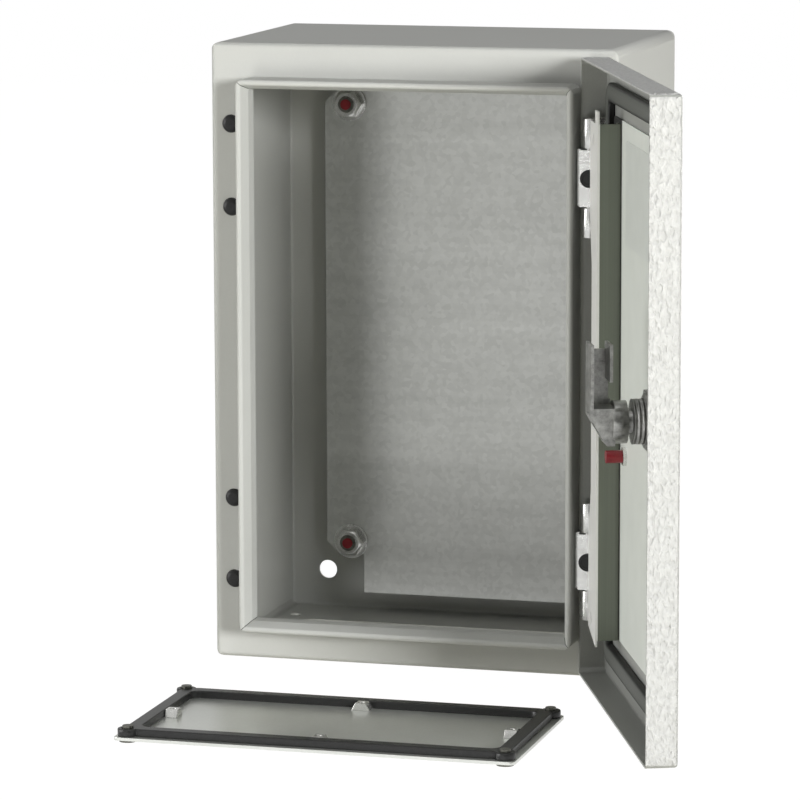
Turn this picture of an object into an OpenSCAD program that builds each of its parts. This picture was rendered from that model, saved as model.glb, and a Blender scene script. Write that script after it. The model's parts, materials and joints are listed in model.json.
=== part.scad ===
/* [Body] */
// Width of the body over its side walls
body_w = 200; // [180:5:260]
// Height of the body over its top and bottom
body_h = 300; // [280:5:420]
// Depth of the body from the wall to the front flange
body_d = 127; // [100:1:200]
// Thickness of the body and door sheet
sheet = 1.25; // [1:0.05:1.5]
// Corner radius of the body seen from the front
body_corner_r = 4.5; // [4:0.5:8]
// Outside bend radius of the body and door sheet
bend_r = 2.5; // [2.2:0.1:3]

/* [Collar] */
// Width of the front flange beside the collar
flange_side = 17.5; // [17:0.5:19]
// Width of the front flange above and below the collar
flange_end = 16.2; // [16:0.2:18]
// Height of the collar in front of the flange
collar_h = 18; // [17.5:0.1:18.5]
// How far the folded lip leans into the opening
lip_in = 4.7; // [4:0.1:5.5]
// How far the slanting part of the lip falls back
lip_fall = 7; // [5:0.5:8]
// Depth of the lip's straight return
lip_return = 8; // [5:0.5:9]
// Inside radius of the fold along the collar's ridge
fold_in_r = 0.2; // [0.1:0.05:0.5]
// Corner radius of the collar
collar_corner_r = 4.5; // [2:0.5:5]

/* [Wall fixing] */
// Distance of the wall fixing holes from the body's edges
wall_inset = 20; // [15:1:30]
// Diameter of the wall fixing holes
wall_hole_d = 9.5; // [6:0.5:11]

/* [Gland opening] */
// Distance of the cut-out's ends from the body's sides
gland_cut_in = 18; // [16:1:30]
// Distance of the cut-out's long sides from the gland plate's edges
gland_cut_edge = 14.5; // [14:0.5:20]
// Diameter of the gland plate screws
gland_screw_d = 5; // [4:0.5:5]

/* [Gland plate] */
// Distance of the gland plate's ends from the body's sides
gland_in = 5; // [4:0.5:6]
// Distance of the fitted gland plate from the front flange
gland_front_in = 7.5; // [6:0.5:12]
// Distance of the fitted gland plate from the wall
gland_back_in = 22.5; // [12:0.5:24]
// Thickness of the gland plate
gland_t = 1.5; // [1:0.25:2]
// Height of the gland plate's gasket
gland_gasket_h = 3.6; // [3:0.2:4]
// Width of the gland plate's gasket
gland_gasket_w = 6.5; // [5:0.5:7]
// Sideways place of the loose gland plate
gland_lay_x = -8.5; // [-14:0.5:0]
// Distance of the loose gland plate's centre from the front flange
gland_lay_y = 95; // [85:1:120]
// Height of the enclosure's bottom over the surface that the gland plate lies on
gland_lay_drop = 11; // [10.5:0.5:14]

/* [Mounting plate] */
// Gap between the mounting plate and the body's sides
plate_side = 24; // [22:1:30]
// Gap between the mounting plate and the body's top and bottom
plate_end = 12; // [10:1:20]
// Thickness of the mounting plate
plate_t = 2; // [1.5:0.25:3]
// Gap between the back and the mounting plate
plate_gap = 13; // [10:1:25]
// Distance of the studs from the plate's upright edges
stud_side = 13; // [12:0.5:16]
// Distance of the studs from the plate's top and bottom edges
stud_end = 26.5; // [25:0.5:30]
// Diameter of the plate's studs
stud_d = 8; // [7:0.5:8.5]

/* [Door] */
// Gap between the front flange and the rim of the closed door
rim_gap = 8.5; // [8:0.1:9]
// Depth of the folded door
door_t = 14.5; // [14.2:0.1:15]
// Distance of the door's edges from the body's edges
door_inset = 3; // [2.8:0.1:3.4]
// Corner radius of the door seen from the front
door_corner_r = 3.5; // [3:0.5:5]
// How far the door stands open at rest, in degrees
door_open = 112; // [90:1:118]
// Width of the door's gasket
gasket_w = 9; // [7:0.5:9.5]
// Corner radius of the door's gasket
gasket_corner_r = 11; // [10:1:14]

/* [Hinges] */
// Distance of the hinge pins from the body's side
hinge_inset = 10; // [9.8:0.1:10.2]
// Distance of the hinge pins in front of the flange
hinge_out = 12.5; // [12.3:0.1:12.7]
// Distance of each hinge from the top or bottom of the body
hinge_end = 59; // [50:1:62]
// Length of a hinge
hinge_l = 56; // [50:1:60]
// Length of the body's part of a hinge
hinge_block_l = 26.6; // [24:0.2:28]
// Diameter of the hinge pins
pin_d = 5; // [4:0.5:5]
// Spacing of the two screws of a hinge
hinge_screw_pitch = 40; // [38:1:44]

/* [Door strip] */
// Distance of the strip's web from the door's hinged edge
strip_web = 43; // [40:1:46]
// Width of the strip at the hinges
strip_w = 21.5; // [18:0.5:22]
// Width of the strip between the hinges
strip_waist_w = 15.5; // [12:0.5:17]
// Thickness of the strip's sheet
strip_t = 1; // [0.8:0.1:1.2]
// Gap between the reinforcing plate's ends and the gasket
backer_end = 6.35; // [5:0.05:15]
// Gap between the reinforcing plate and the lock's nut
backer_lock = 14; // [3:0.5:20]

/* [Lock] */
// Gap between the lock's nut and the gasket
lock_gap = 3.5; // [3:0.5:12]
// Diameter of the lock's housing
lock_d = 20; // [18:0.5:22]
// Reach of the cam from the lock's axis
cam_l = 35; // [32:0.5:37]
// Width of the cam
cam_w = 15; // [12:1:18]
// Thickness of the cam's walls
cam_wall = 1.4; // [1.2:0.1:2]

/* [Hidden] */

$fn = 48;
gap = 0.3;            // clearance between pieces that move past each other
run = 0.05;           // radial running clearance of a pin or shaft
past = 1;             // how far a cut runs past the solid it cuts

// Places measured from the wall, with the front towards -Y
front_y = -body_d;
rim_y = front_y - rim_gap;
skin_y = rim_y - door_t;
skin_in_y = skin_y + sheet;
ridge_y = front_y - collar_h;
back_fold = 4;

// The collar's fold: the ridge's centre, and where the slanting lip leaves it
ridge_r = sheet + fold_in_r;
collar_w = body_w - 2 * flange_side;
collar_len = body_h - 2 * flange_end;
ridge_c = collar_h - ridge_r;
lip_v = collar_h - lip_fall;
lip_end_v = lip_v - lip_return;
lip_du = lip_in - ridge_r;
lip_dv = lip_v - ridge_c;
lip_dist = norm([lip_du, lip_dv]);
lip_turn = atan2(lip_dv, lip_du) + acos(ridge_r / lip_dist);
lip_n = [cos(lip_turn), sin(lip_turn)];
lip_start = [ridge_r, ridge_c] + ridge_r * lip_n;
lip_back = lip_start - sheet * lip_n;
lip_slope = -lip_n[0] / lip_n[1];
function lip_back_v(u) = lip_back[1] + lip_slope * (u - lip_back[0]);

// Places that follow the body's size
wall_pitch_x = body_w - 2 * wall_inset;
wall_pitch_z = body_h - 2 * wall_inset;
hinge_z = body_h / 2 - hinge_end;
gland_w = body_w - 2 * gland_in;
gland_d = body_d - gland_front_in - gland_back_in;
gland_y = front_y + gland_front_in + gland_d / 2;
gland_cut_w = body_w - 2 * gland_cut_in;
gland_cut_d = gland_d - 2 * gland_cut_edge;
gland_edge = 5.5;
gland_pitch_x = gland_w - 2 * gland_edge;
gland_pitch_y = gland_d - 2 * gland_edge;
gland_cut_r = 6;
gland_hole_d = gland_screw_d + 0.5;

// Mounting plate and what holds it
plate_w = body_w - 2 * plate_side;
plate_h = body_h - 2 * plate_end;
stud_pitch_x = plate_w - 2 * stud_side;
stud_pitch_z = plate_h - 2 * stud_end;
plate_back_y = -(sheet + plate_gap);
plate_front_y = plate_back_y - plate_t;
stud_shoulder = 3;
stud_shoulder_d = stud_d + 2 * stud_shoulder;
stud_hole_d = stud_d + 0.4;
washer_d = 2.2 * stud_d;
washer_t = 1.6;
nut_af = stud_d + 5;
nut_t = 0.65 * stud_d;
nut_chamfer = 0.9;
nut_y = plate_front_y - washer_t - nut_t;
stud_tip = 0.5;
stud_end_y = nut_y - stud_tip;
core_d = 0.66 * stud_d;
core_l = 4;
core_proud = 0.8;
plate_notch = 6.5;
plate_chamfer = 6;

// Hinges
hinge_x = body_w / 2 - hinge_inset;
hinge_y = front_y - hinge_out;
block_back = 4;
block_front = 4;
block_right = 4.1;
block_corner_r = 2.5;
block_left = -4.8;
block_step = 1;
neck_t = 1.5;
foot_t = 1.25;
foot_right = 5;
knuckle_gap = 0.6;
leaf_t = 1.5;
screw_d = 6;
screw_head_d = 9.2;
screw_seat = 0.1;
screw_key = 4;
flange_hole_d = 7;
hinge_nut_t = 4;
hinge_cap_d = 8.4;
hinge_cap_t = 0.8;
hinge_cap_ring_d = 6.4;
hinge_cap_peg_d = 3.1;
hinge_cap_hole_d = 3.2;

// Blanking plugs
plug_dome_h = 1.8;
plug_dome_r = 4.4;
plug_bulge_h = 1;
plug_bulge_r = 3.9;
plug_top_h = 1.65;
plug_top_r = 2.4;
plug_barb = 0.3;
plug_taper = 0.6;
plug_shank_l = 3;

// Door
door_w = body_w - 2 * door_inset;
door_h = body_h - 2 * door_inset;
door_edge_x = door_w / 2;
gasket_mid_w = collar_w - 2 * ridge_r;
gasket_mid_h = collar_len - 2 * ridge_r;
gasket_t = skin_in_y * -1 + ridge_y - gap;
notch_t = 4;
backer_t = 1;
backer_x = door_edge_x - (strip_web - strip_w) - 0.5;
backer_y = skin_in_y + backer_t;
backer_h = gasket_mid_h - gasket_w - 2 * backer_end;
strip_top = backer_h / 2 - 2;
strip_bottom = backer_h / 2 + 0.5;
strip_drop = 3;
strip_corner = 6;
strip_set = 1.3;
strip_y = rim_y - strip_set;
strip_foot = 8;
waist_set = 38.5;
waist_l = 2 * (hinge_z - waist_set);
taper_l = 24;
strip_tongue = 6;
strip_tongue_w = 7;
slot_l = 6;
slot_w = 3;
slot_end = 8;
slot_side = 8;
label_w = 64;
label_h = 48;
label_t = 0.25;
label_corner_r = 2;
label_side = 16;
label_top = 8;
earth_set = 18;
earth_w = strip_web + earth_set;
earth_z = -31.8;
earth_d = 5;
earth_l = 9;
earth_nut_t = 1.6;
earth_cap_l = 7.6;
earth_cap_wall = 0.4;

// Lock
lock_nut_af = lock_d + 6;
lock_nut_r = lock_nut_af / 2 / cos(30);
lock_x = lock_gap + lock_nut_r - (gasket_mid_w - gasket_w) / 2;
backer_w = backer_x - lock_x - lock_nut_r - backer_lock;
lock_flange_rim = 4;
lock_flange_d = lock_d + 2 * lock_flange_rim;
lock_flange_t = 2;
seal_t = 0.8;
lock_end_y = rim_y + 0.6;
lock_nut_t = 8.5;
lock_nut_face_t = 1;
spindle_d = 10;
spindle_bore = spindle_d + 2 * run;
cam_hub_y = rim_y + 3.2;
cam_front_y = front_y + sheet + gap;
cam_depth = 9.8;
cam_back_y = cam_front_y + cam_depth;
cam_root_y = cam_front_y + 3.2;
cam_hub_d = lock_d - 1;
cam_pocket_z = 7;
cam_wall_z = 18.6;
cam_web_drop = 3.5;
key_d = 14;
key_t = 5;
key_set = 0.4;
key_socket_d = 10;
key_post_d = 5;
key_socket_t = 3;
square_w = 8;
cam_hub_wall = 1.5;
cam_hub_end = cam_root_y;
cam_screw_d = 4;
cam_screw_l = 7;
cam_screw_head_d = 7;
cam_screw_head_h = 2.4;
cam_screw_hole_d = 4.4;
cam_screw_bore_d = 9.4;
cam_washer_d = 9;
cam_washer_t = 0.8;

// The loose gland plate: heights and its gasket's outline
lay_z = -body_h / 2 - gland_lay_drop;
gland_head_h = 1.2;
gland_head_d = 8;
gland_bottom = lay_z + gland_head_h;
gland_top = gland_bottom + gland_t;
gland_loop_in = 3.5;
gland_loop_w = gland_w - 2 * gland_loop_in;
gland_loop_d = gland_d - 2 * gland_loop_in;
gland_lug_in = 3.2;
gland_lug_set = gland_gasket_w + gland_lug_in;
gland_tip = 1.2;
gland_ear_d = gland_screw_d + 4.5;
gland_corner_r = 9;
gland_lug_w = 9.2;
gland_lug_top = 5.2;
gland_lug_l = 6;
gland_lug_hole_d = 2.6;

module rounded(w, h, r) {
    square([w - 2 * r, h], center = true);
    square([w, h - 2 * r], center = true);
    for (sx = [-1, 1], sz = [-1, 1])
        translate([sx * (w / 2 - r), sz * (h / 2 - r)])
            circle(r);
}

// Extrudes an outline drawn in X and Z from y0 towards +Y
module slab(y0, t) {
    translate([0, y0 + t, 0])
        rotate([90, 0, 0])
            linear_extrude(t)
                children();
}

// A block from y = 0 towards +Y, rounded round its front edge
module soft_block(w, h, d, rc, rb) {
    intersection() {
        slab(0, d)
            rounded(w, h, rc);
        translate([0, d, 0])
            linear_extrude(h, center = true)
                rounded(w, 2 * d, rb);
        translate([0, d, 0])
            rotate([0, 90, 0])
                linear_extrude(w, center = true)
                    rounded(h, 2 * d, rb);
    }
}

// A folded tray with its skin at y = 0 and its open side towards +Y
module tray(w, h, d, rc) {
    difference() {
        soft_block(w, h, d, rc, bend_r);
        translate([0, sheet, 0])
            soft_block(w - 2 * sheet, h - 2 * sheet, d + past, rc - sheet, bend_r - sheet);
    }
}

module bar_y(d, y0, y1) {
    translate([0, y0, 0])
        rotate([-90, 0, 0])
            cylinder(d = d, h = y1 - y0);
}

module hex_y(af, y0, y1) {
    translate([0, y0, 0])
        rotate([-90, 0, 0])
            cylinder(d = af / cos(30), h = y1 - y0, $fn = 6);
}

module at_corners(px, pz) {
    for (sx = [-1, 1], sz = [-1, 1])
        translate([sx * px / 2, 0, sz * pz / 2])
            children();
}

module at_hinges() {
    for (s = [-1, 1])
        translate([hinge_x, hinge_y, s * hinge_z])
            children();
}

// Turns door pieces from the closed place, in which they are drawn, to the rest place
module door_place() {
    translate([hinge_x, hinge_y, 0])
        rotate([0, 0, door_open])
            translate([-hinge_x, -hinge_y, 0])
                children();
}

// Section of the collar: u runs into the opening, v runs out of the flange
module collar_section() {
    ridge = [for (i = [0:8]) let (a = 180 + (lip_turn - 180) * i / 8)
        [ridge_r, ridge_c] + ridge_r * [cos(a), sin(a)]];
    polygon(concat([[0, -sheet]], ridge, [[lip_in, lip_v], [lip_in, lip_end_v],
        [lip_in - sheet, lip_end_v], [lip_in - sheet, lip_back_v(lip_in - sheet)],
        [sheet, lip_back_v(sheet)], [sheet, -sheet]]));
}

// One side of the collar with mitred ends, its ridge running along X
module collar_side(l, half_across) {
    mitre = lip_in + past;
    intersection() {
        translate([-l / 2, front_y, half_across])
            rotate([90, 0, 90])
                linear_extrude(l)
                    mirror([1, 1])
                        collar_section();
        slab(ridge_y - past, collar_h + sheet + 2 * past)
            polygon([[-l / 2, half_across], [l / 2, half_across], [l / 2 - mitre, half_across - mitre],
                [mitre - l / 2, half_across - mitre]]);
    }
}

module body_wrap() {
    color("gainsboro") difference() {
        union() {
            difference() {
                translate([0, front_y, 0])
                    tray(body_w, body_h, body_d - back_fold, body_corner_r);
                slab(front_y - past, sheet + 2 * past)
                    square([collar_w - 2 * sheet, collar_len - 2 * sheet], center = true);
            }
            intersection() {
                for (a = [0, 180])
                    rotate([0, a, 0]) {
                        collar_side(collar_w, collar_len / 2);
                        rotate([0, 90, 0])
                            collar_side(collar_len, collar_w / 2);
                    }
                slab(ridge_y - past, collar_h + sheet + 2 * past)
                    rounded(collar_w, collar_len, collar_corner_r);
            }
        }
        for (sx = [-1, 1], sz = [-1, 1], sh = [-1, 1])
            translate([sx * hinge_x, 0, sz * hinge_z + sh * hinge_screw_pitch / 2])
                bar_y(flange_hole_d, front_y - past, front_y + sheet + past);
        translate([0, gland_y, -body_h / 2 - past]) {
            linear_extrude(sheet + 2 * past)
                rounded(gland_cut_w, gland_cut_d, gland_cut_r);
            at_gland_screws()
                cylinder(d = gland_hole_d, h = sheet + 2 * past);
        }
    }
}

module back_panel() {
    color("gainsboro") difference() {
        rotate([0, 0, 180])
            tray(body_w, body_h, back_fold, body_corner_r);
        at_corners(wall_pitch_x, wall_pitch_z)
            bar_y(wall_hole_d, -sheet - past, past);
    }
}

module plate_studs() {
    color("silver") at_corners(stud_pitch_x, stud_pitch_z)
        difference() {
            union() {
                bar_y(stud_shoulder_d, plate_back_y, -sheet);
                bar_y(stud_d, stud_end_y, plate_back_y);
            }
            bar_y(core_d, stud_end_y - past, stud_end_y + core_l);
        }
}

module mounting_plate() {
    corner_x = stud_pitch_x / 2 - plate_notch;
    corner_z = stud_pitch_z / 2 + plate_notch;
    corner = [[corner_x, plate_h / 2], [corner_x, corner_z], [plate_w / 2 - plate_chamfer, corner_z],
        [plate_w / 2, corner_z - plate_chamfer]];
    color("darkgray") difference() {
        slab(plate_front_y, plate_t)
            polygon([for (p = corner) p, for (i = [3:-1:0]) [corner[i][0], -corner[i][1]],
                for (p = corner) -p, for (i = [3:-1:0]) [-corner[i][0], corner[i][1]]]);
        at_corners(stud_pitch_x, stud_pitch_z)
            bar_y(stud_hole_d, plate_front_y - past, plate_back_y + past);
    }
}

module plate_washers() {
    color("silver") at_corners(stud_pitch_x, stud_pitch_z)
        difference() {
            bar_y(washer_d, plate_front_y - washer_t, plate_front_y);
            bar_y(stud_hole_d, plate_front_y - washer_t - past, plate_front_y + past);
        }
}

module plate_nuts() {
    color("silver") at_corners(stud_pitch_x, stud_pitch_z)
        difference() {
            intersection() {
                hex_y(nut_af, nut_y, nut_y + nut_t);
                translate([0, nut_y, 0])
                    rotate([-90, 0, 0])
                        cylinder(r1 = nut_af / 2 - nut_chamfer, r2 = nut_af / 2 - nut_chamfer + nut_t, h = nut_t);
            }
            bar_y(stud_d + 2 * run, nut_y - past, nut_y + nut_t + past);
        }
}

// Plugs in the bores of the stud ends
module stud_caps() {
    color("darkred") at_corners(stud_pitch_x, stud_pitch_z)
        bar_y(core_d - 2 * run, stud_end_y - core_proud, stud_end_y + core_l - gap);
}

// Plugs that close the unused hinge holes: a low dome, a shank and a barbed ring behind the flange
module blanking_plugs() {
    hole_r = flange_hole_d / 2;
    shank_end = sheet + plug_shank_l;
    color("black") for (sz = [-1, 1], sh = [-1, 1])
        translate([-hinge_x, front_y, sz * hinge_z + sh * hinge_screw_pitch / 2])
            rotate([-90, 0, 0])
                rotate_extrude()
                    polygon([[0, -plug_dome_h], [plug_top_r, -plug_top_h], [plug_bulge_r, -plug_bulge_h],
                        [plug_dome_r, 0], [hole_r - run, 0], [hole_r - run, sheet], [hole_r + plug_barb, sheet],
                        [hole_r - plug_taper, shank_end], [0, shank_end]]);
}

// The body's part of a hinge: a foot screwed to the flange, a neck along the collar and a block
// that holds the pin
module hinge_bracket() {
    foot_left = collar_w / 2 - hinge_x + 0.5;
    pin_bore = pin_d + 2 * run;
    difference() {
        union() {
            translate([foot_left, hinge_out - foot_t, -hinge_l / 2])
                cube([foot_right - foot_left, foot_t, hinge_l]);
            translate([foot_left, block_step, -hinge_block_l / 2])
                cube([neck_t, hinge_out - block_step, hinge_block_l]);
            translate([0, 0, -hinge_block_l / 2])
                linear_extrude(hinge_block_l) {
                    translate([foot_left, block_step])
                        square([block_right - block_corner_r - foot_left, block_back - block_step]);
                    translate([block_left, -block_front])
                        square([block_right - block_corner_r - block_left, block_front + block_back]);
                    translate([0, block_corner_r - block_front])
                        square([block_right, block_front + block_back - 2 * block_corner_r]);
                    for (y = [block_corner_r - block_front, block_back - block_corner_r])
                        translate([block_right - block_corner_r, y])
                            circle(block_corner_r);
                }
        }
        cylinder(d = pin_bore, h = hinge_l, center = true);
        for (s = [-1, 1])
            translate([0, 0, s * hinge_screw_pitch / 2])
                screw_cone(screw_seat);
        bar_y(hinge_cap_hole_d, -block_front - past, -pin_d / 2 - 0.4);
    }
}

// The countersunk head of a hinge screw, or with grow above 0 the seat that it sits in
module screw_cone(grow) {
    slope = (screw_head_d - screw_d) / 2 / foot_t;
    reach = grow > 0 ? past : 0;
    translate([0, hinge_out - foot_t - reach, 0])
        rotate([-90, 0, 0])
            cylinder(r1 = screw_head_d / 2 + grow + slope * reach, r2 = screw_d / 2 + grow - slope * reach,
                h = foot_t + 2 * reach);
}

module hinge_bracket_upper() {
    color("silver") translate([hinge_x, hinge_y, hinge_z])
        hinge_bracket();
}

module hinge_bracket_lower() {
    color("silver") translate([hinge_x, hinge_y, -hinge_z])
        hinge_bracket();
}

module hinge_bracket_screws() {
    head_y = hinge_out - foot_t;
    color("gray") at_hinges()
        for (s = [-1, 1])
            translate([0, 0, s * hinge_screw_pitch / 2])
                difference() {
                    union() {
                        screw_cone(0);
                        bar_y(screw_d, hinge_out, hinge_out + sheet + hinge_nut_t + 2);
                    }
                    hex_y(screw_key, head_y - past, head_y + foot_t);
                }
}

module hinge_bracket_nuts() {
    y0 = hinge_out + sheet;
    color("silver") at_hinges()
        for (s = [-1, 1])
            translate([0, 0, s * hinge_screw_pitch / 2])
                difference() {
                    hex_y(screw_d + 4, y0, y0 + hinge_nut_t);
                    bar_y(screw_d + 2 * run, y0 - past, y0 + hinge_nut_t + past);
                }
}

module hinge_bracket_caps() {
    color("black") at_hinges() {
        difference() {
            bar_y(hinge_cap_d, -block_front - hinge_cap_t, -block_front);
            difference() {
                bar_y(hinge_cap_ring_d, -block_front - hinge_cap_t - past, -block_front - hinge_cap_t / 2);
                bar_y(hinge_cap_ring_d - 2, -block_front - hinge_cap_t - 2 * past, -block_front);
            }
        }
        bar_y(hinge_cap_peg_d, -block_front, -pin_d / 2 - 0.6);
    }
}

module door_panel() {
    color("whitesmoke") door_place() difference() {
        translate([0, skin_y, 0])
            tray(door_w, door_h, door_t, door_corner_r);
        for (s = [-1, 1])
            translate([door_edge_x - sheet - past, rim_y - notch_t, s * hinge_z - hinge_block_l / 2 - 0.7])
                cube([sheet + 2 * past, notch_t + past, hinge_block_l + 1.4]);
        translate([lock_x, 0, 0])
            bar_y(lock_d + 0.4, skin_y - past, skin_in_y + past);
    }
}

module door_gasket() {
    color("black") door_place() slab(skin_in_y, gasket_t)
        difference() {
            rounded(gasket_mid_w + gasket_w, gasket_mid_h + gasket_w, gasket_corner_r);
            rounded(gasket_mid_w - gasket_w, gasket_mid_h - gasket_w, gasket_corner_r - gasket_w);
        }
}

// The door's part of a hinge: a foot on the skin and two knuckles round the pin
module door_leaf() {
    foot_y = skin_in_y - hinge_y;
    knuckle_r = block_right;
    knuckle_l = (hinge_l - hinge_block_l) / 2 - knuckle_gap;
    difference() {
        union() {
            translate([-3.7, foot_y, -hinge_l / 2])
                cube([3.7 + knuckle_r, leaf_t, hinge_l]);
            for (s = [-1, 1])
                translate([0, 0, s * (hinge_l - knuckle_l) / 2]) {
                    cylinder(r = knuckle_r, h = knuckle_l, center = true);
                    translate([knuckle_r - leaf_t, foot_y, -knuckle_l / 2])
                        cube([leaf_t, -foot_y, knuckle_l]);
                }
        }
        cylinder(d = pin_d + 2 * run, h = hinge_l + 2 * past, center = true);
    }
}

module door_leaf_upper() {
    color("silver") door_place() translate([hinge_x, hinge_y, hinge_z])
        door_leaf();
}

module door_leaf_lower() {
    color("silver") door_place() translate([hinge_x, hinge_y, -hinge_z])
        door_leaf();
}

module hinge_pin() {
    cylinder(d = pin_d, h = hinge_l, center = true);
}

module hinge_pin_upper() {
    color("gray") door_place() translate([hinge_x, hinge_y, hinge_z])
        hinge_pin();
}

module hinge_pin_lower() {
    color("gray") door_place() translate([hinge_x, hinge_y, -hinge_z])
        hinge_pin();
}

module door_backer() {
    color("lightgray") door_place() translate([backer_x - backer_w / 2, 0, 0])
        slab(skin_in_y, backer_t)
            rounded(backer_w, backer_h, 3);
}

// A folded strip that stiffens the hinged side: face, web and foot, with a waist between the hinges
module door_strip() {
    web_x = door_edge_x - strip_web;
    waist = waist_l / 2;
    color("silver") door_place() difference() {
        union() {
            slab(strip_y - strip_t, strip_t)
                translate([web_x, 0])
                    polygon([[0, -strip_bottom - strip_drop], [strip_w, strip_corner - strip_bottom - strip_drop],
                        [strip_w, -waist - taper_l], [strip_waist_w, -waist], [strip_waist_w, waist],
                        [strip_w, waist + taper_l], [strip_w, strip_top], [strip_tongue_w, strip_top],
                        [strip_tongue_w, strip_top + strip_tongue], [0, strip_top + strip_tongue]]);
            for (size = [[strip_t, strip_y - backer_y], [strip_foot, strip_t]])
                translate([web_x, backer_y, -strip_bottom])
                    cube([size[0], size[1], strip_top + strip_bottom]);
        }
        for (z = [slot_end - strip_bottom, strip_top - slot_end])
            translate([web_x + strip_w - slot_side, 0, z])
                slab(strip_y - strip_t - past, strip_t + 2 * past) {
                    square([slot_w, slot_l - slot_w], center = true);
                    for (e = [-1, 1])
                        translate([0, e * (slot_l - slot_w) / 2])
                            circle(d = slot_w);
                }
    }
}

module door_label() {
    label_x = door_edge_x - strip_web - label_side - label_w / 2;
    color("white") door_place() translate([label_x, 0, (backer_h - label_h) / 2 - label_top])
        slab(backer_y, label_t)
            rounded(label_w, label_h, label_corner_r);
}

module door_earth_stud() {
    color("silver") door_place() translate([door_edge_x - earth_w, 0, earth_z])
        bar_y(earth_d, backer_y, backer_y + earth_l);
}

module door_earth_nut() {
    color("silver") door_place() translate([door_edge_x - earth_w, 0, earth_z])
        difference() {
            hex_y(earth_d + 3, backer_y, backer_y + earth_nut_t);
            bar_y(earth_d + 2 * run, backer_y - past, backer_y + earth_nut_t + past);
        }
}

module earth_stud_cap() {
    y0 = backer_y + earth_nut_t + 0.1;
    color("darkred") door_place() translate([door_edge_x - earth_w, 0, earth_z])
        difference() {
            bar_y(earth_d + 2 * earth_cap_wall + 2 * run, y0, y0 + earth_cap_l);
            bar_y(earth_d + 2 * run, y0 - past, backer_y + earth_l);
        }
}

// Threaded barrel with a round flange outside and the bore that the spindle turns in
module lock_housing() {
    flange_y = skin_y - seal_t - lock_flange_t;
    color("darkgray") door_place() translate([lock_x, 0, 0])
        difference() {
            union() {
                bar_y(lock_flange_d, flange_y, skin_y - seal_t);
                bar_y(lock_d, skin_y - seal_t, lock_end_y);
            }
            bar_y(spindle_bore, flange_y + key_t, lock_end_y + past);
            bar_y(key_d + 0.6, flange_y - past, flange_y + key_t);
        }
}

module lock_seal() {
    color("black") door_place() translate([lock_x, 0, 0])
        difference() {
            bar_y(lock_flange_d - 1, skin_y - seal_t, skin_y);
            bar_y(lock_d + 2 * run, skin_y - seal_t - past, skin_y + past);
        }
}

module lock_nut() {
    color("silver") door_place() translate([lock_x, 0, 0])
        difference() {
            union() {
                hex_y(lock_nut_af, skin_in_y, skin_in_y + lock_nut_t - lock_nut_face_t);
                bar_y(lock_nut_af - 2, skin_in_y, skin_in_y + lock_nut_t);
            }
            bar_y(lock_d + 2 * run, skin_in_y - past, skin_in_y + lock_nut_t + past);
        }
}

// The turning part: a head with a ring socket for the key, and a spindle squared for the cam
module lock_insert() {
    head_y = skin_y - seal_t - lock_flange_t + key_set;
    shaft_y = head_y - key_set + key_t - 2 * run;
    square_end = cam_hub_end - cam_hub_wall - 2 * run;
    color("dimgray") door_place() translate([lock_x, 0, 0])
        difference() {
            union() {
                bar_y(key_d, head_y, shaft_y);
                bar_y(spindle_d, shaft_y, cam_hub_y);
                intersection() {
                    bar_y(spindle_d, cam_hub_y, square_end);
                    translate([-square_w / 2, cam_hub_y, -square_w / 2])
                        cube([square_w, square_end - cam_hub_y, square_w]);
                }
            }
            difference() {
                bar_y(key_socket_d, head_y - past, head_y + key_socket_t);
                bar_y(key_post_d, head_y - 2 * past, head_y + key_socket_t + past);
            }
            bar_y(cam_screw_d + 2 * run, cam_hub_end + cam_washer_t - cam_screw_l - past, square_end + past);
        }
}

// Cast cranked arm that swings behind the flange: a hub, a solid root and an open pocket up the arm
module lock_cam() {
    root_z = cam_hub_d / 2;
    arm_z = 3;
    hole_w = square_w + 2 * run;
    color("lightgray") door_place() translate([lock_x, 0, 0])
        difference() {
            union() {
                bar_y(cam_hub_d, cam_hub_y, cam_front_y);
                translate([-cam_w / 2, 0, 0])
                    rotate([90, 0, 90])
                        linear_extrude(cam_w)
                            polygon([[cam_front_y - 1, -root_z], [cam_front_y + 2.5, -root_z],
                                [cam_back_y, arm_z], [cam_back_y, cam_l], [cam_front_y, cam_l],
                                [cam_front_y, root_z], [cam_front_y - 1, root_z]]);
            }
            translate([-cam_w / 2 - past, cam_front_y + cam_wall, cam_pocket_z])
                cube([cam_w - cam_wall + past, cam_depth - 2 * cam_wall, cam_l]);
            translate([-cam_w / 2 - past, cam_front_y - past, cam_pocket_z])
                cube([cam_w - cam_wall + past, cam_wall + 2 * past, cam_wall_z - cam_pocket_z]);
            translate([-cam_w / 2 - past, cam_front_y + cam_wall, cam_l - cam_web_drop])
                cube([cam_w + 2 * past, cam_depth - 2 * cam_wall, cam_web_drop + past]);
            translate([-hole_w / 2, cam_hub_y - past, -hole_w / 2])
                cube([hole_w, cam_hub_end - cam_hub_y + past - cam_hub_wall, hole_w]);
            bar_y(cam_screw_hole_d, cam_hub_y, cam_back_y + past);
            bar_y(cam_screw_bore_d, cam_hub_end, cam_back_y + past);
        }
}

module cam_washer() {
    color("silver") door_place() translate([lock_x, 0, 0])
        difference() {
            bar_y(cam_washer_d, cam_hub_end, cam_hub_end + cam_washer_t);
            bar_y(cam_screw_hole_d, cam_hub_end - past, cam_hub_end + cam_washer_t + past);
        }
}

module cam_screw() {
    seat = cam_hub_end + cam_washer_t;
    color("silver") door_place() translate([lock_x, 0, 0]) {
        bar_y(cam_screw_head_d, seat, seat + cam_screw_head_h);
        bar_y(cam_screw_d, seat - cam_screw_l, seat);
    }
}

// The loose gland plate, lying in front with its gasket up
module gland_place(z) {
    translate([gland_lay_x, front_y - gland_lay_y, z])
        children();
}

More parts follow.
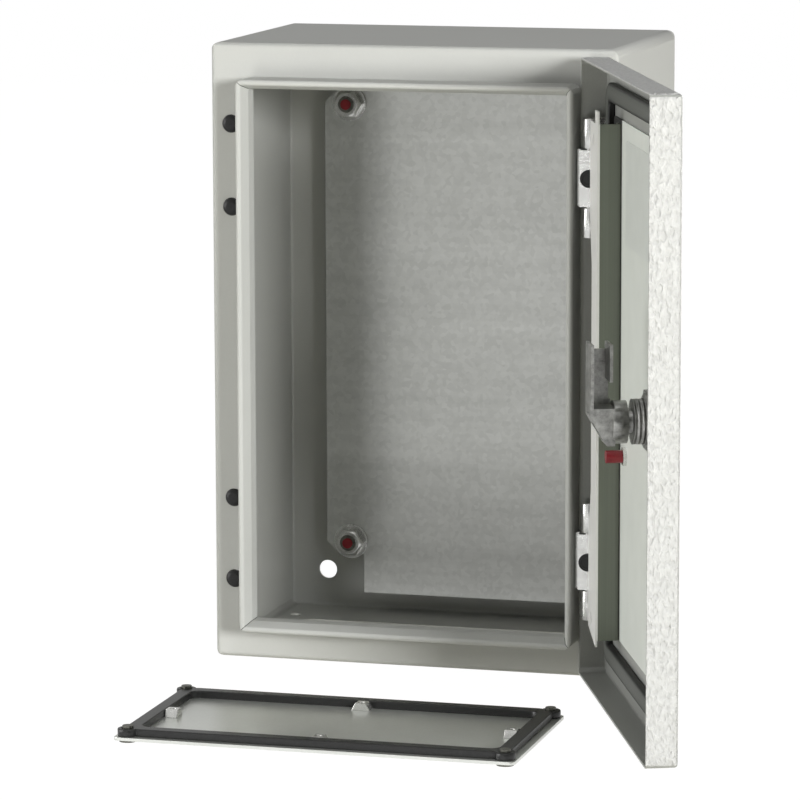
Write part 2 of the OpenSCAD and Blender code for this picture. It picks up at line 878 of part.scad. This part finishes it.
module at_gland_screws() {
    for (sx = [-1, 1], sy = [-1, 1])
        translate([sx * gland_pitch_x / 2, sy * gland_pitch_y / 2, 0])
            children();
}

module gland_plate() {
    color("silver") gland_place(gland_bottom) difference() {
        linear_extrude(gland_t)
            rounded(gland_w, gland_d, 2.5);
        at_gland_screws()
            translate([0, 0, -past])
                cylinder(d = gland_hole_d, h = gland_t + 2 * past);
    }
}

module gland_gasket() {
    color("black") gland_place(gland_top) difference() {
        union() {
            linear_extrude(gland_gasket_h)
                difference() {
                    rounded(gland_loop_w, gland_loop_d, gland_corner_r);
                    rounded(gland_loop_w - 2 * gland_gasket_w, gland_loop_d - 2 * gland_gasket_w,
                        gland_corner_r - gland_gasket_w + 2);
                }
            at_gland_screws()
                cylinder(d = gland_ear_d, h = gland_gasket_h);
        }
        at_gland_screws()
            translate([0, 0, -past])
                cylinder(d = gland_hole_d, h = gland_gasket_h + 2 * past);
    }
}

module gland_lug() {
    difference() {
        rotate([90, 0, 0])
            linear_extrude(gland_lug_l, center = true)
                polygon([[-gland_lug_w / 2, 0], [gland_lug_w / 2, 0], [gland_lug_top / 2, gland_gasket_h],
                    [-gland_lug_top / 2, gland_gasket_h]]);
        translate([0, 0, -past])
            cylinder(d = gland_lug_hole_d, h = gland_gasket_h + 2 * past);
    }
}

module gland_lugs() {
    in_x = gland_loop_w / 2 - gland_lug_set;
    in_y = gland_loop_d / 2 - gland_lug_set;
    color("white") gland_place(gland_top) {
        for (s = [-1, 1]) {
            translate([0, s * in_y, 0])
                gland_lug();
            translate([s * in_x, 0, 0])
                rotate(90)
                    gland_lug();
        }
    }
}

module gland_screws() {
    color("silver") gland_place(lay_z) at_gland_screws() {
        cylinder(d = gland_head_d, h = gland_head_h);
        cylinder(d = gland_screw_d, h = gland_head_h + gland_t + gland_gasket_h + gland_tip);
    }
}

body_wrap();
back_panel();
plate_studs();
mounting_plate();
plate_washers();
plate_nuts();
stud_caps();
blanking_plugs();
hinge_bracket_upper();
hinge_bracket_lower();
hinge_bracket_screws();
hinge_bracket_nuts();
hinge_bracket_caps();
door_panel();
door_gasket();
door_leaf_upper();
door_leaf_lower();
hinge_pin_upper();
hinge_pin_lower();
door_backer();
door_strip();
door_label();
door_earth_stud();
door_earth_nut();
earth_stud_cap();
lock_housing();
lock_seal();
lock_nut();
lock_insert();
lock_cam();
cam_washer();
cam_screw();
gland_plate();
gland_gasket();
gland_lugs();
gland_screws();
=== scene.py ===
import json
from math import radians

import bpy
from mathutils import Matrix, Vector


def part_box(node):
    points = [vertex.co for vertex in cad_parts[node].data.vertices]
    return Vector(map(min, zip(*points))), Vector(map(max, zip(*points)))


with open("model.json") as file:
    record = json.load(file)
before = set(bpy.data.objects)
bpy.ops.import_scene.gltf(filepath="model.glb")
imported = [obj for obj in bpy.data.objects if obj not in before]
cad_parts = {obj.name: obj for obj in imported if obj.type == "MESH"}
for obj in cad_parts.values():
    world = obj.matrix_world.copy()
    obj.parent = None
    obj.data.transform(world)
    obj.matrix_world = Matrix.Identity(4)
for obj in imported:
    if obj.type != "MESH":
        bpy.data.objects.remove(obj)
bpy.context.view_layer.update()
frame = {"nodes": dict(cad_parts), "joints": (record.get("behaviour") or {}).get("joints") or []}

nodes = frame["nodes"]
bpy.ops.object.select_all(action="DESELECT")


# Camera
# The viewer stands in front of the box, a little to its right and above it, and looks through a long
# lens. The picture keeps its own white and grey values.
camera = bpy.data.objects.new("camera", bpy.data.cameras.new("camera"))
bpy.context.scene.collection.objects.link(camera)
camera.data.sensor_width = 36
camera.data.lens = 201.5
camera.data.clip_end = 20
camera.location = (0.5640, -2.1662, 0.3173)
view_azimuth = 15.624
view_elevation = 9.044
view_roll = -0.142
turn = (Matrix.Rotation(radians(view_azimuth), 3, "Z")
        @ Matrix.Rotation(radians(90 - view_elevation), 3, "X"))
camera.rotation_euler = (turn @ Matrix.Rotation(radians(view_roll), 3, "Z")).to_euler()
bpy.context.scene.camera = camera
bpy.context.scene.view_settings.view_transform = "Standard"


# Room
# A plain white room. What the viewer sees past the object is pure white, bright metal mirrors duller
# walls and the unlit end of the room behind the viewer, and matt surfaces get only weak light from all
# round.
class Wire:
    """A node's output that arithmetic acts on by adding Math nodes."""

    def __init__(self, net, socket):
        self.net = net
        self.socket = socket

    def math(self, operation, first, second=0.0):
        return self.net.add("Math", {0: first, 1: second}, operation=operation)

    def __add__(self, other):
        return self.math("ADD", self, other)

    def __radd__(self, other):
        return self.math("ADD", other, self)

    def __sub__(self, other):
        return self.math("SUBTRACT", self, other)

    def __rsub__(self, other):
        return self.math("SUBTRACT", other, self)

    def __mul__(self, other):
        return self.math("MULTIPLY", self, other)

    def __rmul__(self, other):
        return self.math("MULTIPLY", other, self)

    def __truediv__(self, other):
        return self.math("DIVIDE", self, other)

    def __rtruediv__(self, other):
        return self.math("DIVIDE", other, self)

    def __gt__(self, other):
        return self.math("GREATER_THAN", self, other)

    def __lt__(self, other):
        return self.math("LESS_THAN", self, other)

    def __abs__(self):
        return self.math("ABSOLUTE", self)


class Net:
    """A node tree under construction. add makes a node from its type, its sockets' values and its
    settings, and returns the output that out names."""

    def __init__(self, tree):
        self.tree = tree
        self.tree.nodes.clear()

    def add(self, kind, sockets=None, out=0, stops=None, **settings):
        node = self.tree.nodes.new("ShaderNode" + kind)
        for name, value in settings.items():
            setattr(node, name, value)
        if stops:
            ramp = node.color_ramp
            while len(ramp.elements) < len(stops):
                ramp.elements.new(0.5)
            for element, (place, colour) in zip(ramp.elements, stops):
                element.position = place
                grey = not isinstance(colour, tuple)
                element.color = (colour, colour, colour, 1) if grey else (*colour, 1)
        for name, value in (sockets or {}).items():
            if isinstance(value, Wire):
                self.tree.links.new(value.socket, node.inputs[name])
            else:
                node.inputs[name].default_value = value
        return Wire(self, node.outputs[out])

    def xyz(self, vector):
        return [self.add("SeparateXYZ", {"Vector": vector}, out=axis) for axis in "XYZ"]

    def end(self, kind, shader):
        output = self.tree.nodes.new("ShaderNodeOutput" + kind)
        self.tree.links.new(shader.socket, output.inputs["Surface"])


room = bpy.data.worlds.new("white room")
bpy.context.scene.world = room
room.use_nodes = True
sky = Net(room.node_tree)
seen = sky.add("LightPath", out="Is Camera Ray") + sky.add("LightPath", out="Is Transmission Ray")
matt_light = sky.add("Background", {"Color": (1, 1, 0.95, 1), "Strength": 0.12})
toward_unlit_end = (0.42, -0.91, 0)
nearness = sky.add("VectorMath", {0: sky.add("TexCoord", out="Generated"), 1: toward_unlit_end},
                   out="Value", operation="DOT_PRODUCT")
wall_colour = (0.62, 0.62, 0.61)
unlit_colour = (0.09, 0.095, 0.085)
mirrored = sky.add("Background", {"Color": sky.add("ValToRGB", {"Fac": nearness},
                                                   stops=[(0.78, wall_colour), (0.93, unlit_colour)])})
backdrop = sky.add("Background", {"Color": (1, 1, 1, 1), "Strength": 1.0})
glossy = sky.add("LightPath", out="Is Glossy Ray")
indirect = sky.add("MixShader", {0: glossy, 1: matt_light, 2: mirrored})
sky.end("World", sky.add("MixShader", {0: seen, 1: indirect, 2: backdrop}))


# Lamps
# The key lamp stands to the right, shines past the open door into the box and isn't mirrored in metal.
# A tall strip lamp in front, below the floor's level, lights the mounting plate over the collar, a fill
# lamp from the far left lights the inside of the door, and a weak lamp hangs above.
def lamp(name, azimuth, elevation, distance, size, power):
    light = bpy.data.lights.new(name, "AREA")
    light.shape = "RECTANGLE"
    light.size = size[0]
    light.size_y = size[1]
    light.energy = power
    made = bpy.data.objects.new(name, light)
    way = Matrix.Rotation(radians(azimuth), 3, "Z") @ Matrix.Rotation(radians(-elevation), 3, "X")
    made.location = way @ Vector((0, -distance, 0))
    made.rotation_euler = made.location.to_track_quat("Z", "Y").to_euler()
    bpy.context.scene.collection.objects.link(made)
    made.visible_camera = False
    return made


lamp("key lamp", 41.5, 9, 2.6, (0.55, 0.5), 65).visible_glossy = False
lamp("strip lamp", -14.5, -13, 2.6, (0.4, 0.9), 11.3)
lamp("fill lamp", -66, 6, 2.2, (1.2, 1.2), 22)
lamp("top lamp", 10, 72, 2.2, (1.4, 1.4), 5)


# Floor
# The white surface that the gland plate lies on. It keeps a faint shadow of the object, and casts none,
# because the strip lamp shines from below its level.
floor_side = 6
bpy.ops.mesh.primitive_plane_add(size=floor_side, location=(0, 0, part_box("gland_screws")[0].z))
floor = bpy.context.object
floor.name = "floor"
floor.visible_shadow = False
paper = bpy.data.materials.new("white paper")
paper.use_nodes = True
net = Net(paper.node_tree)
place = net.add("TexCoord", out="Object")
fibre = net.add("TexNoise", {"Vector": place, "Scale": 40.0, "Detail": 3.0}, out="Fac")
tint = net.add("ValToRGB", {"Fac": fibre}, stops=[(0.3, (0.84, 0.81, 0.66)), (0.7, (0.86, 0.83, 0.68))])
matt = net.add("BsdfDiffuse", {"Color": tint})
glow = net.add("Emission", {"Color": (1, 1, 1, 1), "Strength": 1.10})
shine = net.add("Emission", {"Color": (1, 1, 1, 1), "Strength": 0.80})
seen = net.add("MixShader", {0: net.add("LightPath", out="Is Camera Ray") * 0.90, 1: matt, 2: glow})
glossy = net.add("LightPath", out="Is Glossy Ray")
net.end("Material", net.add("MixShader", {0: glossy, 1: seen, 2: shine}))
floor.data.materials.append(paper)


# Body and back panel
# One folded sheet of steel with its front flange and sealing collar, and a back welded into it. Both
# are powder coated light grey, with a fine orange peel.
def material(name):
    made = bpy.data.materials.new(name)
    made.use_nodes = True
    return made, Net(made.node_tree)


def dress(made, *names):
    for name in names:
        mesh = nodes[name].data
        mesh.materials.clear()
        mesh.materials.append(made)
        for polygon in mesh.polygons:
            polygon.material_index = 0


def soften(width, *names):
    for name in names:
        weld = nodes[name].modifiers.new("weld", "WELD")
        weld.merge_threshold = 0.00001
        edge = nodes[name].modifiers.new("soft edges", "BEVEL")
        edge.width = width
        edge.segments = 2
        edge.limit_method = "ANGLE"
        edge.angle_limit = radians(35)
        edge.harden_normals = True


coat, net = material("grey powder coat")
place = net.add("TexCoord", out="Object")
peel = net.add("TexNoise", {"Vector": place, "Scale": 900.0, "Detail": 3.0, "Roughness": 0.5},
               out="Fac")
cloud = net.add("TexNoise", {"Vector": place, "Scale": 14.0, "Detail": 4.0, "Roughness": 0.6},
                out="Fac")
coat_x, coat_y, coat_z = net.xyz(place)
half_seam = 0.00022
collar_foot_y = -0.1285
collar_length_less_width = 0.1026
mitre = ((abs(abs(coat_z) - abs(coat_x) - collar_length_less_width / 2) < half_seam)
         * (coat_y < collar_foot_y))
paint = net.add("ValToRGB", {"Fac": cloud * 0.7 + peel * 0.3},
                stops=[(0.30, (0.486, 0.492, 0.470)), (0.70, (0.518, 0.524, 0.502))])
net.end("Material", net.add("BsdfPrincipled", {
    "Base Color": net.add("Mix", {0: mitre, 6: paint, 7: (0.10, 0.105, 0.09, 1)}, out=2,
                          data_type="RGBA"),
    "Roughness": 0.38 + 0.12 * cloud, "Specular IOR Level": 0.45,
    "Normal": net.add("Bump", {"Strength": 0.5, "Distance": 0.00006, "Height": peel - mitre * 3})}))
dress(coat, "body_wrap", "back_panel")
soften(0.0003, "body_wrap")


# Mounting plate
# A flat galvanised sheet with notched corners. Faint bands from rolling run across it, with clouds and
# fine spangle over them.
galvanised, net = material("galvanised sheet")
place = net.add("TexCoord", out="Object")
stretched = net.add("Mapping", {"Vector": place, "Scale": (3.0, 30.0, 130.0)})
bands = net.add("TexNoise", {"Vector": stretched, "Scale": 1.0, "Detail": 4.0, "Roughness": 0.6},
                out="Fac")
clouds = net.add("TexNoise", {"Vector": place, "Scale": 26.0, "Detail": 5.0, "Roughness": 0.65},
                 out="Fac")
crystals = net.add("TexVoronoi", {"Vector": place, "Scale": 420.0}, out="Color")
spangle = net.add("SeparateColor", {"Color": crystals})
tone = bands * 0.45 + clouds * 0.35 + spangle * 0.20
net.end("Material", net.add("BsdfPrincipled", {
    "Base Color": net.add("ValToRGB", {"Fac": tone}, stops=[(0.30, (0.450, 0.456, 0.436)),
                                                            (0.72, (0.590, 0.596, 0.574))]),
    "Metallic": 0.78, "Roughness": 0.33 + 0.14 * tone,
    "Normal": net.add("Bump", {"Strength": 0.3, "Distance": 0.00005, "Height": tone})}))
dress(galvanised, "mounting_plate")
soften(0.00025, "mounting_plate")


# Fasteners of the mounting plate
# Shouldered studs of bare steel, welded to the back, carry the plate. Its washers and hexagon nuts are
# bright zinc plated. The thread is only a relief in the finish. The studs' steel is coloured very dark
# as painted shade for the thread and the ring round the red plugs.
metre_of_wave = 0.314  # a wave texture of this scale repeats once in a metre
stud_pitch = 0.00125
thread_depth = 0.0004


def zinc_plate(name, pitch, depth):
    made, net = material(name)
    place = net.add("TexCoord", out="Object")
    haze = net.add("TexNoise", {"Vector": place, "Scale": 160.0, "Detail": 5.0, "Roughness": 0.65},
                   out="Fac")
    fine = net.add("TexNoise", {"Vector": place, "Scale": 2500.0, "Detail": 2.0}, out="Fac")
    relief = fine * 0.00001
    if pitch:
        thread = net.add("TexWave", {"Vector": place, "Scale": metre_of_wave / pitch}, out="Fac",
                         bands_direction="Y")
        relief = relief + thread * depth
    net.end("Material", net.add("BsdfPrincipled", {
        "Base Color": net.add("ValToRGB", {"Fac": haze},
                              stops=[(0.3, (0.60, 0.60, 0.58)), (0.7, (0.84, 0.84, 0.82))]),
        "Metallic": 0.90, "Roughness": 0.14 + 0.22 * haze,
        "Normal": net.add("Bump", {"Strength": 1.0, "Distance": 1.0, "Height": relief})}))
    return made


zinc = zinc_plate("bright zinc", 0, 0)
dress(zinc, "plate_washers", "plate_nuts")

shaded_bare_steel, net = material("bare steel")
place = net.add("TexCoord", out="Object")
scale = net.add("TexNoise", {"Vector": place, "Scale": 300.0, "Detail": 4.0, "Roughness": 0.6},
                out="Fac")
thread = net.add("TexWave", {"Vector": place, "Scale": metre_of_wave / stud_pitch}, out="Fac",
                 bands_direction="Y")
# Painted shade: the steel is coloured very dark for the thread and the ring round the red plugs.
net.end("Material", net.add("BsdfPrincipled", {
    "Base Color": net.add("ValToRGB", {"Fac": scale},
                          stops=[(0.3, (0.10, 0.10, 0.085)), (0.7, (0.20, 0.20, 0.175))]),
    "Metallic": 0.9, "Roughness": 0.26 + 0.2 * scale,
    "Normal": net.add("Bump", {"Strength": 1.0, "Distance": 1.0, "Height": thread * thread_depth})}))
dress(shaded_bare_steel, "plate_studs")
soften(0.0002, "plate_washers", "plate_nuts", "plate_studs")


# Red plugs and cap
# Moulded plugs in the bored ends of the studs, and the cap over the earthing stud, in dark red.
red, net = material("red plastic")
place = net.add("TexCoord", out="Object")
shade = net.add("TexNoise", {"Vector": place, "Scale": 500.0, "Detail": 3.0}, out="Fac")
net.end("Material", net.add("BsdfPrincipled", {
    "Base Color": net.add("ValToRGB", {"Fac": shade},
                          stops=[(0.3, (0.20, 0.006, 0.012)), (0.7, (0.27, 0.010, 0.018))]),
    "Roughness": 0.30 + 0.1 * shade,
    "Normal": net.add("Bump", {"Strength": 0.3, "Distance": 0.00004, "Height": shade})}))
dress(red, "stud_caps", "earth_stud_cap")
soften(0.0004, "stud_caps", "earth_stud_cap")


# Black plugs and caps
# Polyamide plugs that close the unused hinge holes, and the small caps on the hinge blocks, with a
# fine matt grain.
black, net = material("black plastic")
place = net.add("TexCoord", out="Object")
grain = net.add("TexNoise", {"Vector": place, "Scale": 1800.0, "Detail": 2.0}, out="Fac")
net.end("Material", net.add("BsdfPrincipled", {
    "Base Color": net.add("ValToRGB", {"Fac": grain}, stops=[(0.3, 0.006), (0.7, 0.012)]),
    "Roughness": 0.36 + 0.12 * grain, "Specular IOR Level": 0.35,
    "Normal": net.add("Bump", {"Strength": 0.3, "Distance": 0.00004, "Height": grain})}))
dress(black, "blanking_plugs", "hinge_bracket_caps")


# Hinges
# Brackets, leaves and pins of bright zinc plated steel. Countersunk screws hold the brackets.
dress(zinc, "hinge_bracket_upper", "hinge_bracket_lower", "hinge_bracket_screws", "hinge_bracket_nuts",
      "door_leaf_upper", "door_leaf_lower", "hinge_pin_upper", "hinge_pin_lower")
soften(0.0003, "hinge_bracket_upper", "hinge_bracket_lower", "door_leaf_upper", "door_leaf_lower")


# Door
# A folded tray of sheet steel, open at rest. Its outside has a coarse wrinkled powder coat, coloured
# darker in the hollows of its folds as painted shade, and its inside is smoother and darker.
hinge = next(joint for joint in frame["joints"] if joint["name"] == "door_hinge")
half_sheet = 0.00125 / 2
door_edge_x = 0.097
door_edge_z = 0.147
door_front_y = -0.150


def shut_place(net, place):
    """The point of the shut door that a point of the open door comes from."""
    shut_angle = radians(hinge["range_deg"][0])
    return net.add("VectorRotate", {"Vector": place, "Center": hinge["pos_m"], "Axis": hinge["axis"],
                                    "Angle": shut_angle}, rotation_type="AXIS_ANGLE")


wrinkled, net = material("wrinkled powder coat")
shut = shut_place(net, net.add("TexCoord", out="Object"))
shut_x, shut_y, shut_z = net.xyz(shut)
inside = ((abs(shut_x) < door_edge_x - half_sheet) * (abs(shut_z) < door_edge_z - half_sheet)
          * (shut_y > door_front_y + half_sheet))
drawn = net.add("Mapping", {"Vector": shut, "Scale": (1.0, 1.0, 0.62), "Rotation": (0, radians(25), 0)})
swell = net.add("TexNoise", {"Vector": drawn, "Scale": 300.0, "Detail": 1.5, "Roughness": 0.5,
                             "Distortion": 0.7}, out="Fac")
ridges = 1 - abs(swell * 2 - 1) * 3.0
folds = net.add("TexNoise", {"Vector": drawn, "Scale": 560.0, "Detail": 1.0, "Distortion": 0.5},
                out="Fac")
crumbs = net.add("TexNoise", {"Vector": shut, "Scale": 1600.0, "Detail": 2.0}, out="Fac")
coarse = ridges * 0.00018 + folds * 0.00140 + swell * 0.0006 + crumbs * 0.00002
relief = (1 - inside) * coarse + inside * crumbs * 0.00002
# Painted shade: the outside is coloured darker where the folds are low.
outer = net.add("ValToRGB", {"Fac": folds},
                stops=[(0.3, (0.475, 0.477, 0.469)), (0.7, (0.575, 0.578, 0.570))])
inner = net.add("ValToRGB", {"Fac": crumbs},
                stops=[(0.3, (0.330, 0.337, 0.318)), (0.7, (0.360, 0.367, 0.348))])
net.end("Material", net.add("BsdfPrincipled", {
    "Base Color": net.add("Mix", {0: inside, 6: outer, 7: inner}, out=2, data_type="RGBA"),
    "Roughness": 0.34 + 0.10 * crumbs, "Specular IOR Level": 0.45,
    "Normal": net.add("Bump", {"Strength": 1.0, "Distance": 1.0, "Height": relief})}))
dress(wrinkled, "door_panel")
soften(0.0003, "door_panel")


# Door gasket
# A band of foam poured into the door in one ring. Its skin is dull greenish grey along the middle, and
# along its edges, where it turns down to the sheet, it is painted black as painted shade.
foam, net = material("poured foam")
bend_centre = (0.07455, 0, 0.1259)
bend_radius = 0.0065
half_band = 0.0045
place = net.add("TexCoord", out="Object")
flat = net.add("VectorMath", {0: shut_place(net, place), 1: (1, 0, 1)}, operation="MULTIPLY")
folded = net.add("VectorMath", {0: flat}, operation="ABSOLUTE")
corner = net.add("VectorMath", {0: folded, 1: bend_centre}, operation="SUBTRACT")
past_bend = net.add("VectorMath", {0: corner, 1: (0, 0, 0)}, operation="MAXIMUM")
bend = net.add("VectorMath", {0: past_bend}, out="Value", operation="LENGTH")
corner_x, _, corner_z = net.xyz(corner)
nearest = corner_x.math("MAXIMUM", corner_x, corner_z)
straight = nearest.math("MINIMUM", nearest, 0.0)
across = abs(bend + straight - bend_radius) / half_band
pores = net.add("TexNoise", {"Vector": place, "Scale": 1400.0, "Detail": 4.0, "Roughness": 0.6},
                out="Fac")
net.end("Material", net.add("BsdfPrincipled", {
    # Painted shade: black towards the band's edges, greenish grey along its middle.
    "Base Color": net.add("ValToRGB", {"Fac": across + pores * 0.08 - 0.04},
                          stops=[(0.0, (0.098, 0.103, 0.092)), (0.60, (0.080, 0.085, 0.076)),
                                 (0.80, (0.012, 0.013, 0.011))]),
    "Roughness": 0.45 + 0.2 * pores,
    "Normal": net.add("Bump", {"Strength": 0.4, "Distance": 0.0001, "Height": pores})}))
dress(foam, "door_gasket")
soften(0.0010, "door_gasket")


# Reinforcing plate and label
# A smooth pale plate lies on the door's skin. Along the foot of the door strip it carries painted
# shade, a black line fading into the pale paint. A blank white film stands where such doors have their
# printed label.
pale, net = material("pale paint")
place = net.add("TexCoord", out="Object")
mist = net.add("TexNoise", {"Vector": place, "Scale": 60.0, "Detail": 4.0}, out="Fac")
line_start_x = 0.0490
line_width = 0.0040
shut_x = net.xyz(shut_place(net, place))[0]
to_strip = (shut_x - line_start_x) / line_width
# Painted shade beside the strip's web: black at its foot, fading into the pale paint.
painted_shade_line = net.add("ValToRGB", {"Fac": to_strip},
                    stops=[(0.0, 0.0), (0.5, 0.30), (0.62, 1.0), (1.0, 1.0)])
paint = net.add("ValToRGB", {"Fac": mist}, stops=[(0.3, (0.73, 0.76, 0.72)), (0.7, (0.77, 0.80, 0.76))])
net.end("Material", net.add("BsdfPrincipled", {
    "Base Color": net.add("Mix", {0: painted_shade_line, 6: paint, 7: (0.012, 0.013, 0.011, 1)}, out=2,
                          data_type="RGBA"),
    "Roughness": 0.40 + 0.1 * mist,
    "Normal": net.add("Bump", {"Strength": 0.1, "Distance": 0.00003, "Height": mist})}))
dress(pale, "door_backer")
soften(0.0002, "door_backer")

film, net = material("blank label film")
place = net.add("TexCoord", out="Object")
speck = net.add("TexNoise", {"Vector": place, "Scale": 90.0, "Detail": 3.0}, out="Fac")
net.end("Material", net.add("BsdfPrincipled", {
    "Base Color": net.add("ValToRGB", {"Fac": speck},
                          stops=[(0.3, (0.70, 0.73, 0.70)), (0.7, (0.74, 0.77, 0.74))]),
    "Roughness": 0.30 + 0.1 * speck,
    "Normal": net.add("Bump", {"Strength": 0.05, "Distance": 0.00002, "Height": speck})}))
dress(film, "door_label")


# Door strip
# A folded strip of sheet that stiffens the hinged side. Its web is coloured dark greenish grey as
# painted shade and its outer flange near white as painted light, parted by their height above the
# door's skin.
# Drawing lines run along it.
rail, net = material("drawn zinc strip")
place = net.add("TexCoord", out="Object")
along = net.add("Mapping", {"Vector": place, "Scale": (1500.0, 1500.0, 6.0)})
lines = net.add("TexNoise", {"Vector": along, "Scale": 1.0, "Detail": 2.0}, out="Fac")
# Painted light and shade: near white on the outer flange, dark on the web, by height above the skin.
outer_flange_y = -0.1380
bright = net.xyz(shut_place(net, place))[1] > outer_flange_y
shaded_web = net.add("ValToRGB", {"Fac": lines},
                stops=[(0.3, (0.160, 0.178, 0.142)), (0.7, (0.182, 0.200, 0.162))])
net.end("Material", net.add("BsdfPrincipled", {
    "Base Color": net.add("Mix", {0: bright, 6: shaded_web, 7: (0.93, 0.93, 0.91, 1)}, out=2,
                          data_type="RGBA"),
    "Metallic": 0.15, "Roughness": 0.30 + 0.08 * lines,
    "Normal": net.add("Bump", {"Strength": 0.05, "Distance": 0.00002, "Height": lines})}))
dress(rail, "door_strip")
soften(0.0002, "door_strip")


# Earthing stud
# A threaded stud on the door with a flat nut under its red cap, both bright zinc plated.
dress(zinc_plate("threaded zinc", stud_pitch, thread_depth), "door_earth_stud")
dress(zinc, "door_earth_nut")


# Lock
# A zinc die cast barrel with a coarse thread, its nut and insert, and a cranked arm with an open
# pocket. The casting skin is mottled and a little worn.
def casting(name, pitch, depth):
    made, net = material(name)
    place = net.add("TexCoord", out="Object")
    mottle = net.add("TexNoise", {"Vector": place, "Scale": 260.0, "Detail": 4.0, "Roughness": 0.65},
                     out="Fac")
    relief = mottle * 0.00006
    if pitch:
        thread = net.add("TexWave", {"Vector": shut_place(net, place), "Scale": metre_of_wave / pitch},
                         out="Fac", bands_direction="Y")
        relief = relief + thread * depth
    net.end("Material", net.add("BsdfPrincipled", {
        "Base Color": net.add("ValToRGB", {"Fac": mottle},
                              stops=[(0.3, (0.20, 0.20, 0.19)), (0.7, (0.52, 0.52, 0.50))]),
        "Metallic": 0.85, "Roughness": 0.24 + 0.25 * mottle,
        "Normal": net.add("Bump", {"Strength": 1.0, "Distance": 1.0, "Height": relief})}))
    return made


cast = casting("zinc die casting", 0, 0)
dress(cast, "lock_nut", "lock_insert", "lock_cam")
barrel_pitch = 0.002
barrel_thread_depth = 0.0006
dress(casting("threaded casting", barrel_pitch, barrel_thread_depth), "lock_housing")
dress(zinc, "cam_washer", "cam_screw")
soften(0.0004, "lock_cam", "lock_nut", "lock_insert")

rubber, net = material("black rubber")
place = net.add("TexCoord", out="Object")
pores = net.add("TexNoise", {"Vector": place, "Scale": 1500.0, "Detail": 3.0}, out="Fac")
net.end("Material", net.add("BsdfPrincipled", {
    "Base Color": net.add("ValToRGB", {"Fac": pores}, stops=[(0.3, 0.008), (0.7, 0.016)]),
    "Roughness": 0.24 + 0.2 * pores,
    "Normal": net.add("Bump", {"Strength": 0.4, "Distance": 0.0001, "Height": pores})}))
dress(rubber, "lock_seal")


# Gland plate
# A loose galvanised plate with a black rubber frame on its upper face, four small lugs and four screws
# that stay in its corners.
sheet_zinc, net = material("gland plate sheet")
place = net.add("TexCoord", out="Object")
clouds = net.add("TexNoise", {"Vector": place, "Scale": 25.0, "Detail": 5.0, "Roughness": 0.6},
                 out="Fac")
dust = net.add("TexNoise", {"Vector": place, "Scale": 700.0, "Detail": 2.0}, out="Fac")
net.end("Material", net.add("BsdfPrincipled", {
    "Base Color": net.add("ValToRGB", {"Fac": clouds * 0.7 + dust * 0.3},
                          stops=[(0.3, (0.72, 0.735, 0.70)), (0.7, (0.82, 0.835, 0.80))]),
    "Metallic": 0.75, "Roughness": 0.24 + 0.12 * clouds,
    "Normal": net.add("Bump", {"Strength": 0.2, "Distance": 0.00003, "Height": dust})}))
dress(sheet_zinc, "gland_plate")
dress(rubber, "gland_gasket")
# The screws take the same steel, darkened as painted shade.
dress(shaded_bare_steel, "gland_screws")
dress(zinc, "gland_lugs")
soften(0.0003, "gland_plate", "gland_lugs")
soften(0.0012, "gland_gasket")
